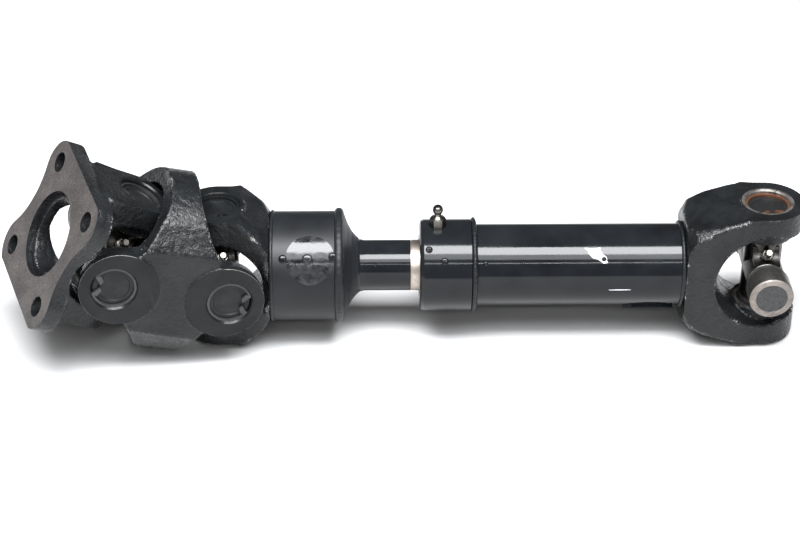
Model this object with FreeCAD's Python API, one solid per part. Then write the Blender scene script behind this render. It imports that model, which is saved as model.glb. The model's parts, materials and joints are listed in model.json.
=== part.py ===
import FreeCAD
import Part
import math
import os
from FreeCAD import Placement, Rotation, Vector

# Double-joint (constant-velocity) propeller shaft with a slip spline.
# Frame: origin at the centre of the flange's mounting face, +X from the flange to the far yoke
# along the shaft, +Z up along the far yoke's ears. The double joint rests at its bent stowed angle.
# All sizes are millimetres and degrees.

# ---- driving dimensions ----
BEND_SIDE = 10.65           # each joint's bend about its ear axis
BEND_UP = 15.67             # each joint's bend about the cross's other axis
FLANGE_TO_CROSS = 41.5      # flange face to the front cross
CROSS_SPACING = 71.05       # front cross to rear cross
SHAFT_LENGTH = 337.2        # rear cross to end cross

CUP_R = 13.485              # bearing cup outside radius
CUP_END = 40.9              # cross centre to a cup's closed end
CUP_LENGTH = 15.5
CUP_FLOOR = 3.0
TRUNNION_R = 8.35
TRUNNION_END = 37.6
SHOULDER_R = 11.8           # cross arm behind the seal
SHOULDER_END = 20.9
NEEDLE_R = 1.17
NEEDLES_PER_CUP = 24
NEEDLE_CLEARANCE = 0.04
BORE_CLEARANCE = 0.015      # cup in its ear
SEAL_CLEARANCE = 0.06
RING_WIRE = 1.5             # snap ring thickness
RING_OUT_R = 14.3
RING_IN_R = 12.2
GROOVE_R = 14.4

EAR_INNER = 27.0            # cross centre to the ear's inner boss
BOSS_R = 17.0

FLANGE_THICK = 11.0
BOLT_CIRCLE_R = 45.35
BOLT_HOLE_R = 6.25
LOBE_R = 16.5               # round tip of each bolt lobe
LOBE_CENTRE_R = 42.5
SPOT_FACE_R = 12.0          # flat seat for each bolt head
FLANGE_WAIST_EAR = 45.5     # flange axis to the middle of each side, above the ears
FLANGE_WAIST_SIDE = 39.0    # the same, on the two sides between the ears
PILOT_R = 26.5              # counterbore in the mounting face
PILOT_DEPTH = 4.0
FLANGE_BORE_R = 22.5

FLANGE_EAR_OUTER = 45.2
FLANGE_EAR_HALF_WIDTH = 20.0
FLANGE_THROAT_R = 29.4       # space between the ears, about the cross
TUBE_EAR_OUTER = 44.4
TUBE_EAR_HALF_WIDTH = 22.0
TUBE_THROAT_R = 26.4
TUBE_HUB_BACK = -31.4        # hub's rear face from the cross
END_EAR_OUTER = 44.8
END_EAR_HALF_WIDTH = 23.0
END_THROAT_R = 29.4

CENTRE_DISC_R = 24.0        # round bearing bosses of the centre yoke
CENTRE_BOSS_SHIFT = 3.0      # bosses stand this much inboard of their bores
CENTRE_DRAFT = 1.8          # bosses narrow by this toward their inner face
RELIEF_SWING = 12.6         # largest swing that the neighbours leave room for
RELIEF_GAP = 0.6
CENTRE_OUTER = 43.8         # half width over the bosses
CENTRE_INNER = 29.8
CENTRE_CROWN = 57.0         # half height over the bridges
CENTRE_CROWN_INNER = 47.0

BALL_FROM_REAR_CROSS = 37.5
BALL_R = 8.0
SOCKET_R = 9.0
STUD_R = 4.5
CENTRING_BOSS_R = 12.3
CENTRING_BORE_R = 10.2
CENTRING_BOSS_END = 40.2
BRIDGE_NEAR = 17.5          # bridge between ears, beyond the cross
BRIDGE_FAR = 24.0
BRIDGE_HALF_WIDTH = 8.5

SHORT_TUBE_R = 33.8
SHORT_TUBE_BORE_R = 30.8
SHORT_TUBE = (33.9, 71.3)   # stations from the rear cross
CONE = (77.2, 86.9)
STUB_R = 15.8
SPLINE_START = 134.0
STUB_END = 234.0
SPLINE_TEETH = 16
SPLINE_MAJOR_R = 14.6
SPLINE_MINOR_R = 12.9

SLEEVE_R = 28.6
SLEEVE_FACE = 123.6
SLEEVE_END = 155.4
SLEEVE_SPLINE = (166.0, 206.0)
SLEEVE_TAIL = 210.0
SLEEVE_BORE_R = 16.3
SEAL_SEAT_R = 19.5
SEAL_SEAT_DEPTH = 5.0
MAIN_TUBE_R = 25.4
MAIN_TUBE_BORE_R = 23.3
MAIN_TUBE_START = 159.1
HUB_FACE = 286.8
WEIGHT_LENGTH = 35.0
PLUG_FLOOR = 263.0           # pressed cap inside the tube, clear of the stub at full closure

FITTING_SHANK_R = 2.6
FITTING_SHANK = 4.0
SMALL_FITTING = (7.0, 9.5, 2.6)      # across flats, height, ball radius
LARGE_FITTING = (8.7, 15.0, 3.3)
CROSS_FITTING_SEAT = 20.1
SLEEVE_FITTING_X = 134.8

X = Vector(1, 0, 0)
Y = Vector(0, 1, 0)
Z = Vector(0, 0, 1)
ORIGIN = Vector(0, 0, 0)


# ---- frames ----
def turn(axis, angle):
    return Rotation(axis, angle)


REAR_CROSS_TURN = turn(Z, BEND_SIDE)
CENTRE_TURN = REAR_CROSS_TURN * turn(Y, BEND_UP)
FRONT_CROSS_TURN = CENTRE_TURN * turn(Y, BEND_UP)
FLANGE_TURN = FRONT_CROSS_TURN * turn(Z, BEND_SIDE)

FRONT_CENTRE = FLANGE_TURN.multVec(X * FLANGE_TO_CROSS)
REAR_CENTRE = FRONT_CENTRE + CENTRE_TURN.multVec(X * CROSS_SPACING)
END_CENTRE = REAR_CENTRE + X * SHAFT_LENGTH

FLANGE_FRAME = Placement(FRONT_CENTRE, FLANGE_TURN)
FRONT_CROSS_FRAME = Placement(FRONT_CENTRE, FRONT_CROSS_TURN)
CENTRE_FRAME = Placement((FRONT_CENTRE + REAR_CENTRE) * 0.5, CENTRE_TURN)
REAR_CROSS_FRAME = Placement(REAR_CENTRE, REAR_CROSS_TURN)
TUBE_YOKE_FRAME = Placement(REAR_CENTRE, turn(Z, 180))
SHAFT_FRAME = Placement(REAR_CENTRE, turn(Z, 0))
END_FRAME = Placement(END_CENTRE, turn(Z, 0))
ALONG_X = Placement(ORIGIN, Rotation(Z, X))


# ---- shape helpers ----
def placed(shape, frame):
    moved = shape.copy()
    moved.Placement = frame.multiply(moved.Placement)
    return moved


def closed_face(points):
    return Part.Face(Part.makePolygon(points + points[:1]))


def turned(outline):
    """Solid of revolution about Z from (radius, height) points."""
    face = closed_face([Vector(radius, 0, height) for radius, height in outline])
    return face.revolve(ORIGIN, Z, 360)


def ring(outer, inner, low, high):
    return turned([(inner, low), (outer, low), (outer, high), (inner, high)])


def rod(radius, low, high):
    return Part.makeCylinder(radius, high - low, Vector(0, 0, low), Z)


def bead(radius, low, high, inner):
    """Weld bead: a ring about Z with a rounded crown."""
    root = radius - 0.45 * (high - low)
    middle = (low + high) / 2
    crown = Part.Arc(Vector(root, 0, low), Vector(radius, 0, middle), Vector(root, 0, high)).toShape()
    sides = Part.makePolygon([Vector(root, 0, high), Vector(inner, 0, high), Vector(inner, 0, low),
                              Vector(root, 0, low)])
    return Part.Face(Part.Wire([crown] + sides.Edges)).revolve(ORIGIN, Z, 360)


def slab(face, direction, half):
    """Extrude a face both ways along a direction."""
    return placed(face.extrude(direction * (2 * half)), Placement(direction * -half, Rotation()))


def mirrored_outline(points):
    """Close an upper outline of (x, height) with its mirror image below."""
    return points + [(x, -height) for x, height in reversed(points)]


def side_face(points):
    return closed_face([Vector(x, 0, height) for x, height in points])


def plan_face(points):
    return closed_face([Vector(x, y, 0) for x, y in points])


def fused(shapes):
    return shapes[0].multiFuse(shapes[1:]).removeSplitter()


def arm_frames(frame, directions):
    """Frames whose +Z runs out along each trunnion."""
    return [frame.multiply(Placement(ORIGIN, Rotation(Z, direction))) for direction in directions]


# ---- bearing pieces, built along a trunnion's +Z ----
def cup():
    wall_r = TRUNNION_R + 2 * NEEDLE_R + 2 * NEEDLE_CLEARANCE
    mouth = CUP_END - CUP_LENGTH
    floor = CUP_END - CUP_FLOOR
    recess_r = 9.45
    return turned([(wall_r, mouth), (CUP_R - 0.6, mouth), (CUP_R, mouth + 0.6), (CUP_R, CUP_END - 1.0),
                   (CUP_R - 1.0, CUP_END), (recess_r + 0.3, CUP_END), (recess_r, CUP_END - 0.6),
                   (0, CUP_END - 0.6), (0, floor), (wall_r, floor)])


def needles():
    pitch_r = TRUNNION_R + NEEDLE_R + NEEDLE_CLEARANCE
    low = CUP_END - CUP_LENGTH + 1.0
    high = CUP_END - CUP_FLOOR - 0.4
    rollers = []
    for index in range(NEEDLES_PER_CUP):
        angle = 2 * math.pi * index / NEEDLES_PER_CUP
        centre = Vector(pitch_r * math.cos(angle), pitch_r * math.sin(angle), low)
        rollers.append(Part.makeCylinder(NEEDLE_R, high - low, centre, Z))
    return Part.makeCompound(rollers)


def seal():
    mouth = CUP_END - CUP_LENGTH
    bore = TRUNNION_R + SEAL_CLEARANCE
    return turned([(bore, SHOULDER_END + 0.4), (SHOULDER_R + 0.2, SHOULDER_END + 0.4),
                   (CUP_R - 1.0, mouth - 2.6), (CUP_R - 1.0, mouth - 0.8), (CUP_R - 0.4, mouth - 0.8),
                   (CUP_R - 0.4, mouth), (bore, mouth)])


def snap_ring(gap_direction):
    """Internal snap ring with two hooked ends, in the groove outside the cup."""
    low = CUP_END + 0.1
    body = ring(RING_OUT_R, RING_IN_R, low, low + RING_WIRE)
    half_gap = 24
    reach = RING_OUT_R + 5
    edge = [Vector(0, 0, low - 1)]
    for angle in (-half_gap, 0, half_gap):
        side = math.radians(angle)
        edge.append(Vector(reach * math.cos(side), reach * math.sin(side), low - 1))
    gap = closed_face(edge).extrude(Z * (RING_WIRE + 2))
    ends = []
    for sign in (-1, 1):
        side = math.radians(sign * (half_gap + 1))
        outer = Vector(RING_OUT_R - 0.9, 0, 0)
        inner = Vector(RING_OUT_R - 6.6, -sign * 2.6, 0)
        heel = Vector(RING_OUT_R - 6.6, sign * 0.2, 0)
        toe = Vector(RING_OUT_R - 3.2, sign * 2.6, 0)
        spin = Rotation(Z, math.degrees(side))
        points = [spin.multVec(corner) + Z * low for corner in (outer, inner, heel, toe)]
        ends.append(closed_face(points).extrude(Z * RING_WIRE))
    clip = fused([body.cut(gap)] + ends)
    return placed(clip, Placement(ORIGIN, Rotation(Z, gap_direction)))


def ear_bore(outer):
    """Cutter for one ear: cup bore, snap-ring groove and mouth chamfer."""
    groove_low = CUP_END + 0.05
    return fused([rod(CUP_R + BORE_CLEARANCE, EAR_INNER - 12, outer + 5),
                  rod(GROOVE_R, groove_low, groove_low + RING_WIRE + 0.1),
                  Part.makeCone(CUP_R, CUP_R + 2, 2, Vector(0, 0, outer - 0.8), Z)])


def cross():
    """Four-armed cross in the YZ plane, with its grease drillings."""
    arms = []
    drillings = []
    for direction in (Z, -Z, Y, -Y):
        way = Placement(ORIGIN, Rotation(Z, direction))
        arm = turned([(0, 0), (SHOULDER_R, 0), (SHOULDER_R, SHOULDER_END - 0.8),
                      (SHOULDER_R - 0.8, SHOULDER_END), (TRUNNION_R, SHOULDER_END),
                      (TRUNNION_R, TRUNNION_END - 0.8), (TRUNNION_R - 0.8, TRUNNION_END),
                      (0, TRUNNION_END)])
        arms.append(placed(arm, way))
        drillings.append(placed(rod(1.6, 0, TRUNNION_END + 1), way))
    web_half = 18.5
    scoop_r = 8.0
    web = Part.makeBox(16, 2 * web_half, 2 * web_half, Vector(-8, -web_half, -web_half))
    scoops = []
    for y_sign in (-1, 1):
        for z_sign in (-1, 1):
            corner = Vector(-9, y_sign * web_half, z_sign * web_half)
            scoops.append(Part.makeCylinder(scoop_r, 18, corner, X))
    body = fused(arms + [web.cut(Part.makeCompound(scoops))])
    return body.cut(Part.makeCompound(drillings + [FITTING_PORT]))


def fitting(hex_flats, height, ball_r):
    """Grease fitting standing on Z=0: threaded shank, hexagon, neck and ball head."""
    hex_r = hex_flats / math.sqrt(3)
    corners = [Vector(hex_r * math.cos(math.radians(60 * k)), hex_r * math.sin(math.radians(60 * k)), 0)
               for k in range(6)]
    hex_top = 0.42 * height
    hexagon = closed_face(corners).extrude(Z * hex_top)
    bevel = turned([(0, -1), (hex_r + 1, -1), (hex_r + 1, hex_top - 1.2), (hex_r - 1.2, hex_top),
                    (0, hex_top)])
    ball_z = height - ball_r
    neck_r = 0.62 * ball_r
    neck = turned([(0, hex_top - 0.2), (hex_r - 1.4, hex_top - 0.2), (neck_r, hex_top + 1.4),
                   (neck_r, ball_z), (0, ball_z)])
    head = Part.makeSphere(ball_r, Vector(0, 0, ball_z))
    crop = rod(ball_r + 1, ball_z - ball_r, height - 0.25 * ball_r)
    shank = rod(FITTING_SHANK_R, -FITTING_SHANK, 0.2)
    return fused([shank, hexagon.common(bevel), neck, head.common(crop)])


# The cross's fitting leaves the corner between the near arm and the upper arm.
CROSS_FITTING_FRAME = Placement(Vector(0, -1, 1).normalize() * CROSS_FITTING_SEAT,
                                Rotation(Z, Vector(0, -1, 1)))
FITTING_PORT = placed(rod(FITTING_SHANK_R + 0.02, -FITTING_SHANK - 14, 1), CROSS_FITTING_FRAME)


# ---- yokes, built with the cross centre at the origin and the base toward -X ----
def ear_cutters(outer):
    return [placed(ear_bore(outer), frame) for frame in arm_frames(Placement(), (Z, -Z))]


def throat(radius, flare, half_width, reach):
    """Cutter for the space between two ears, flared toward its open sides."""
    flat = 10.0
    outline = [(0, -half_width - 1), (radius + flare, -half_width - 1), (radius, -flat), (radius, flat),
               (radius + flare, half_width + 1), (0, half_width + 1)]
    round_part = placed(turned(outline), Placement(ORIGIN, Rotation(Z, Y)))
    ahead = Part.makeBox(reach, 2 * half_width + 2, 2 * radius, Vector(0, -half_width - 1, -radius))
    return fused([round_part, ahead])


def fork(side_outline, plan_outline, tip_r, outer, base_envelope, throat_r, flare):
    """Two-eared yoke body: side and plan outlines crossed, hollowed and bored."""
    half_width = max(y for x, y in plan_outline)
    side = slab(side_face(mirrored_outline(side_outline)), Y, half_width + 2)
    plan = slab(plan_face(mirrored_outline(plan_outline)), Z, outer + 20)
    tip = rod(tip_r, -outer - 20, outer + 20)
    body = side.common(fused([plan, tip])).common(placed(turned(base_envelope), ALONG_X))
    body = body.cut(throat(throat_r, flare, half_width, tip_r + 5))
    bosses = [placed(rod(BOSS_R, EAR_INNER, throat_r + 6), frame)
              for frame in arm_frames(Placement(), (Z, -Z))]
    return fused([body] + bosses)


def swing_relief():
    """Room for the centre yoke's round bosses as the joint swings about the ear axis."""
    sweeps = []
    for angle in (-RELIEF_SWING, 0, RELIEF_SWING):
        for direction in (Y, -Y):
            way = Placement(ORIGIN, Rotation(Z, angle) * Rotation(Z, direction))
            sweeps.append(placed(centre_disc(RELIEF_GAP, CENTRE_OUTER + 20), way))
    return Part.makeCompound(sweeps)


def centre_disc(grow, top):
    """Round boss of the centre yoke, with draft toward its inner face."""
    return turned([(0, CENTRE_INNER - grow), (CENTRE_DISC_R - CENTRE_DRAFT + grow, CENTRE_INNER - grow),
                   (CENTRE_DISC_R + grow, CENTRE_OUTER - 5), (CENTRE_DISC_R + grow, top), (0, top)])


def ear_bridge():
    """Upright bridge joining the two ears beyond the cross."""
    depth = BRIDGE_FAR - BRIDGE_NEAR
    height = 2 * (EAR_INNER + 5)
    return Part.makeBox(depth, 2 * BRIDGE_HALF_WIDTH, height,
                        Vector(BRIDGE_NEAR, -BRIDGE_HALF_WIDTH, -height / 2))


def flange_plate():
    """Four-lobed plate with hollowed sides; its face is at X = -FLANGE_TO_CROSS."""
    c = LOBE_CENTRE_R * math.sin(math.radians(45))
    sides = []
    for k, waist in enumerate((FLANGE_WAIST_SIDE, FLANGE_WAIST_EAR) * 2):
        # Each side is an arc tangent to two lobes. Its centre is d from the axis, from
        # hypot(d - c, c) = (d - waist) + lobe, where c is half the lobes' spacing.
        d = (2 * c * c - (LOBE_R - waist) ** 2) / (2 * (c + LOBE_R - waist))
        angle = math.radians(90 * k)
        way = Vector(0, math.cos(angle), math.sin(angle))
        across = Vector(0, -way.z, way.y)
        arc_centre = way * d
        touches = []
        for sign in (-1, 1):
            lobe = way * c + across * (sign * c)
            touches.append(arc_centre + (lobe - arc_centre).normalize() * (d - waist))
        sides.append((touches[0], way * waist, touches[1], lobe))
    edges = []
    for k, (start, middle, end, lobe) in enumerate(sides):
        tip = lobe * ((LOBE_CENTRE_R + LOBE_R) / LOBE_CENTRE_R)
        next_start = sides[(k + 1) % 4][0]
        edges.append(Part.Arc(start, middle, end).toShape())
        edges.append(Part.Arc(end, tip, next_start).toShape())
    plate = Part.Face(Part.Wire(edges)).extrude(X * FLANGE_THICK)
    return placed(plate, Placement(X * -FLANGE_TO_CROSS, Rotation()))


def flange_yoke():
    back = -FLANGE_TO_CROSS + FLANGE_THICK
    w = FLANGE_EAR_HALF_WIDTH
    outer = FLANGE_EAR_OUTER
    body = fork([(back - 6, outer - 1.5), (back + 2, outer), (w, outer)],
                [(back - 6, w + 3.5), (back, w + 2), (-12, w), (0, w)], w, outer,
                [(0, back - 6), (outer + 0.2, back - 6), (outer + 8, back + 14), (outer + 8, w), (0, w)],
                FLANGE_THROAT_R, 2.0)
    centring_boss = placed(rod(CENTRING_BOSS_R, BRIDGE_NEAR, CENTRING_BOSS_END), ALONG_X)
    body = fused([body, flange_plate(), ear_bridge(), centring_boss])
    face = -FLANGE_TO_CROSS
    bores = [placed(rod(FLANGE_BORE_R, face - 1, back + 8), ALONG_X),
             placed(rod(PILOT_R, face - 1, face + PILOT_DEPTH), ALONG_X),
             placed(rod(CENTRING_BORE_R, BRIDGE_NEAR + 2.5, CENTRING_BOSS_END + 5), ALONG_X)]
    for k in range(4):
        angle = math.radians(45 + 90 * k)
        centre = Vector(face - 1, BOLT_CIRCLE_R * math.cos(angle), BOLT_CIRCLE_R * math.sin(angle))
        bores.append(Part.makeCylinder(BOLT_HOLE_R, FLANGE_THICK + 2, centre, X))
        spot = centre + X * (FLANGE_THICK + 1)
        bores.append(Part.makeCylinder(SPOT_FACE_R, 14, spot, X))
    body = body.cut(Part.makeCompound(bores)).cut(Part.makeCompound(ear_cutters(outer)))
    return fused([body]).cut(swing_relief())


def tube_yoke():
    hub_back = TUBE_HUB_BACK
    w = TUBE_EAR_HALF_WIDTH
    outer = TUBE_EAR_OUTER
    body = fork([(hub_back, 34.0), (-26, 37.5), (-12, outer), (w, outer)],
                [(hub_back, 27.0), (-20, 25.0), (-8, w), (0, w)], w, outer,
                [(0, hub_back), (34.0, hub_back), (40.0, -27.0), (50.0, -14.0), (56.0, w), (0, w)],
                TUBE_THROAT_R, 1.5)
    hub = fused([placed(rod(SHORT_TUBE_R - 0.4, hub_back, -28.0), ALONG_X),
                 placed(rod(SHORT_TUBE_BORE_R - 0.1, -44.0, hub_back + 0.1), ALONG_X)])
    hub = hub.cut(placed(rod(22.0, -45.0, -36.0), ALONG_X)).cut(throat(TUBE_THROAT_R, 1.5, 40, 5))
    body = fused([body, hub, ear_bridge()])
    stud_seat = placed(rod(6.0, BRIDGE_NEAR - 1, BRIDGE_FAR + 1), ALONG_X)
    return body.cut(Part.makeCompound(ear_cutters(outer) + [stud_seat])).cut(swing_relief())


def end_yoke():
    hub_back = HUB_FACE - SHAFT_LENGTH
    w = END_EAR_HALF_WIDTH
    outer = END_EAR_OUTER
    body = fork([(hub_back, 33.0), (-44.4, 35.7), (-30, 40.6), (-12, outer), (w, outer)],
                [(hub_back, 26.0), (-44, 27.0), (-20, 25.0), (-6, w), (0, w)], w, outer,
                [(0, hub_back), (33.8, hub_back), (40.5, -46.0), (45.0, -36.0), (52.0, -10.0),
                 (60.0, w), (0, w)],
                END_THROAT_R, 3.2)
    spigot = placed(rod(MAIN_TUBE_BORE_R - 0.1, hub_back - 14.0, hub_back + 1), ALONG_X)
    spigot = spigot.cut(placed(rod(14.0, hub_back - 15.0, hub_back - 3.0), ALONG_X))
    body = fused([body, spigot])
    return body.cut(Part.makeCompound(ear_cutters(outer)))


def centre_yoke():
    """Ring-shaped link yoke: two bored side plates joined by arched bridges over and under."""
    half = CROSS_SPACING / 2
    r = CENTRE_DISC_R

    def ring_section(side_y, shoulder, crown, shoulder_y):
        top_left = Vector(0, -shoulder_y, shoulder)
        top = Vector(0, 0, crown)
        top_right = Vector(0, shoulder_y, shoulder)
        knee = shoulder - (side_y - shoulder_y) * 1.5
        edges = [Part.Arc(top_left, top, top_right).toShape()]
        edges += Part.makePolygon([top_right, Vector(0, side_y, knee), Vector(0, side_y, -knee),
                                   Vector(0, shoulder_y, -shoulder)]).Edges
        edges.append(Part.Arc(Vector(0, shoulder_y, -shoulder), Vector(0, 0, -crown),
                              Vector(0, -shoulder_y, -shoulder)).toShape())
        edges += Part.makePolygon([Vector(0, -shoulder_y, -shoulder), Vector(0, -side_y, -knee),
                                   Vector(0, -side_y, knee), top_left]).Edges
        return slab(Part.Face(Part.Wire(edges)), X, half + r + 1)

    outside = ring_section(CENTRE_OUTER - 0.8, 43.0, CENTRE_CROWN, 33.5)
    inside = ring_section(CENTRE_INNER, 34.5, CENTRE_CROWN_INNER, 26.8)
    web = slab(side_face(mirrored_outline([(-half - 2, 20.0), (-24.6, 24.0), (-18.0, 35.0),
                                           (-13.0, 45.0), (-9.5, 52.0), (-8.5, 60.0), (8.5, 60.0),
                                           (9.5, 52.0), (13.0, 45.0), (18.0, 35.0), (24.6, 24.0),
                                           (half + 2, 20.0)])), Y, 50)
    discs = []
    cutters = []
    for x in (-half, half):
        for direction in (Y, -Y):
            way = Placement(X * x, Rotation(Z, direction))
            boss_way = Placement(X * (x - math.copysign(CENTRE_BOSS_SHIFT, x)), Rotation(Z, direction))
            discs.append(placed(centre_disc(0, CENTRE_OUTER), boss_way))
            discs.append(placed(rod(BOSS_R, EAR_INNER, CENTRE_INNER + 1), way))
            cutters.append(placed(ear_bore(CENTRE_OUTER), way))
    body = fused([outside.cut(inside).common(web)] + discs)
    return body.cut(Part.makeCompound(cutters))


# ---- centring mechanism, hidden between the two crosses ----
def centring_socket():
    """Bushing pressed in the flange yoke's centring boss; the ball slides in it."""
    return placed(turned([(SOCKET_R, 22.5), (10.15, 22.5), (10.15, 39.6), (SOCKET_R + 0.6, 39.6),
                          (SOCKET_R, 38.8)]), ALONG_X)


def centring_spring():
    """Disc-spring stack at the socket's floor: three thin coned washers."""
    washers = []
    for k in range(3):
        low = 20.1 + 0.75 * k
        washers.append(turned([(3.0, low + 0.35), (8.4, low), (8.4, low + 0.5), (3.0, low + 0.7)]))
    return placed(Part.makeCompound(washers), ALONG_X)


def centring_seal():
    """Rubber lip ring at the socket's mouth."""
    return placed(ring(12.0, SOCKET_R + 0.9, 40.25, 41.2), ALONG_X)


def centring_ball_stud():
    """Ball on a stud pressed into the tube yoke's bridge."""
    ball_x = BALL_FROM_REAR_CROSS
    stud = fused([rod(5.98, BRIDGE_NEAR - 0.8, BRIDGE_FAR), rod(STUD_R, BRIDGE_FAR - 0.5, ball_x)])
    ball = Part.makeSphere(BALL_R, Vector(0, 0, ball_x))
    crop = rod(BALL_R + 1, ball_x - BALL_R, ball_x + 0.86 * BALL_R)
    return placed(fused([stud, ball.common(crop)]), ALONG_X)


# ---- shaft pieces, built with the rear cross at the origin ----
def spline_bar(major_r, minor_r, shrink, low, high):
    """Star-shaped bar along Z; shrink narrows every tooth flank."""
    step = 360 / SPLINE_TEETH
    points = []
    for k in range(SPLINE_TEETH):
        for radius, angle in ((minor_r, -0.30), (major_r, -0.20), (major_r, 0.20), (minor_r, 0.30)):
            side = math.degrees(shrink / radius) * (1 if angle > 0 else -1)
            way = math.radians(step * (k + angle) - side)
            points.append(Vector(radius * math.cos(way), radius * math.sin(way), low))
    return closed_face(points).extrude(Z * (high - low))


def short_tube():
    return placed(ring(SHORT_TUBE_R, SHORT_TUBE_BORE_R, *SHORT_TUBE), ALONG_X)


def front_weld():
    return placed(bead(34.7, 31.5, SHORT_TUBE[0], SHORT_TUBE_BORE_R), ALONG_X)


def stub_weld():
    return placed(bead(36.1, SHORT_TUBE[1], CONE[0] - 0.6, SHORT_TUBE_BORE_R), ALONG_X)


def slip_stub():
    """Cone, smooth seal land and male spline, with a spigot in the short tube."""
    waist = 16.4
    outline = [(0, 62.0), (SHORT_TUBE_BORE_R - 0.1, 62.0), (SHORT_TUBE_BORE_R - 0.1, CONE[0] - 0.6),
               (32.0, CONE[0] - 0.6), (32.0, CONE[0]), (26.5, 79.2), (21.5, 81.8), (18.3, 84.6),
               (waist, CONE[1]), (STUB_R, CONE[1] + 2.6), (STUB_R, 118.0), (STUB_R - 0.25, 118.3),
               (STUB_R - 0.25, 118.8), (STUB_R, 119.1), (STUB_R, SPLINE_START - 1.2),
               (SPLINE_MINOR_R, SPLINE_START), (0, SPLINE_START)]
    spline = spline_bar(SPLINE_MAJOR_R, SPLINE_MINOR_R, 0.0, SPLINE_START - 0.5, STUB_END)
    hollow = turned([(0, 61.0), (24.0, 61.0), (24.0, 66.0), (14.0, 73.0), (0, 73.0)])
    return placed(fused([turned(outline), spline]).cut(hollow), ALONG_X)


def slip_sleeve():
    """Collar with rounded nose, seal seat, grease port, female spline and a spigot in the tube."""
    tail_r = MAIN_TUBE_BORE_R - 0.1
    nose = 2.6
    outer = turned([(SLEEVE_BORE_R, SLEEVE_FACE), (SLEEVE_R - nose, SLEEVE_FACE),
                    (SLEEVE_R - 0.8, SLEEVE_FACE + 0.8), (SLEEVE_R, SLEEVE_FACE + nose),
                    (SLEEVE_R, SLEEVE_END), (tail_r, SLEEVE_END), (tail_r, SLEEVE_TAIL),
                    (SLEEVE_BORE_R, SLEEVE_TAIL)])
    keyed = ring(tail_r - 1, SLEEVE_BORE_R - 6, *SLEEVE_SPLINE)
    keyed = keyed.cut(spline_bar(SPLINE_MAJOR_R + 0.35, SPLINE_MINOR_R + 0.35, -0.15,
                                 SLEEVE_SPLINE[0] - 1, SLEEVE_SPLINE[1] + 1))
    seal_seat = rod(SEAL_SEAT_R, SLEEVE_FACE - 1, SLEEVE_FACE + SEAL_SEAT_DEPTH)
    body = fused([outer, keyed]).cut(seal_seat)
    port = Part.makeCylinder(FITTING_SHANK_R + 0.02, 20, Vector(SLEEVE_FITTING_X, 0, 12), Z)
    spot_face = Part.makeCylinder(5.6, 5, Vector(SLEEVE_FITTING_X, 0, SLEEVE_R - 0.4), Z)
    return placed(body, ALONG_X).cut(Part.makeCompound([port, spot_face]))


def sleeve_seal():
    lip = STUB_R + SEAL_CLEARANCE + 0.02
    outer = SEAL_SEAT_R - 0.1
    front = SLEEVE_FACE + 0.6
    back = SLEEVE_FACE + SEAL_SEAT_DEPTH
    return placed(turned([(lip, front), (outer, front), (outer, back), (STUB_R + 0.7, back),
                          (lip, back - 1.5)]), ALONG_X)


def sleeve_grease_fitting():
    seat = Vector(SLEEVE_FITTING_X, 0, SLEEVE_R - 0.4)
    return placed(fitting(*LARGE_FITTING), Placement(seat, Rotation()))


def sleeve_weld():
    return placed(bead(30.1, SLEEVE_END, MAIN_TUBE_START, MAIN_TUBE_BORE_R), ALONG_X)


def main_tube():
    return placed(ring(MAIN_TUBE_R, MAIN_TUBE_BORE_R, MAIN_TUBE_START, HUB_FACE - 2.6), ALONG_X)


def sleeve_plug():
    """Pressed cap closing the grease space behind the sliding spline."""
    outer = MAIN_TUBE_BORE_R - 0.1
    wall = 1.6
    rim = PLUG_FLOOR + 8.0
    return placed(turned([(0, PLUG_FLOOR), (outer, PLUG_FLOOR), (outer, rim), (outer - wall, rim),
                          (outer - wall, PLUG_FLOOR + wall), (0, PLUG_FLOOR + wall)]), ALONG_X)


def end_weld():
    return placed(bead(27.2, HUB_FACE - 2.6, HUB_FACE - 0.1, MAIN_TUBE_BORE_R), ALONG_X)


def balance_weight():
    """Curved plate welded under the tube, tapering in plan at both ends."""
    end = HUB_FACE - 1.0
    shell = placed(ring(MAIN_TUBE_R + 2.2, MAIN_TUBE_R + 0.05, end - WEIGHT_LENGTH, end - 3.0), ALONG_X)
    middle = end - 3.0 - WEIGHT_LENGTH / 2
    half = WEIGHT_LENGTH / 2 - 1.5
    outline = [(middle - half, 0), (middle - 0.6 * half, 6.5), (middle, 9.0), (middle + 0.6 * half, 8.0),
               (middle + half, 5.0)]
    patch = plan_face(mirrored_outline(outline)).extrude(Z * -60)
    lean = Placement(ORIGIN, Rotation(X, -24))
    return placed(shell.common(patch), lean)


# ---- export ----
def save(node, shape):
    if not shape.isValid():
        raise RuntimeError("invalid shape: " + node)
    shape.exportStep(os.path.join("parts", node + ".step"))


def save_bearings(prefix, frame, directions, names, gaps):
    """Cups one by one; rings, needles and seals grouped, for two cups held in one yoke."""
    frames = arm_frames(frame, directions)
    for name, way in zip(names, frames):
        save(name, placed(cup(), way))
    save(prefix + "_snap_rings", Part.makeCompound([placed(snap_ring(gap), way)
                                                    for gap, way in zip(gaps, frames)]))
    save(prefix + "_needles", Part.makeCompound([placed(needles(), way) for way in frames]))
    save(prefix + "_seals", Part.makeCompound([placed(seal(), way) for way in frames]))


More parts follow.
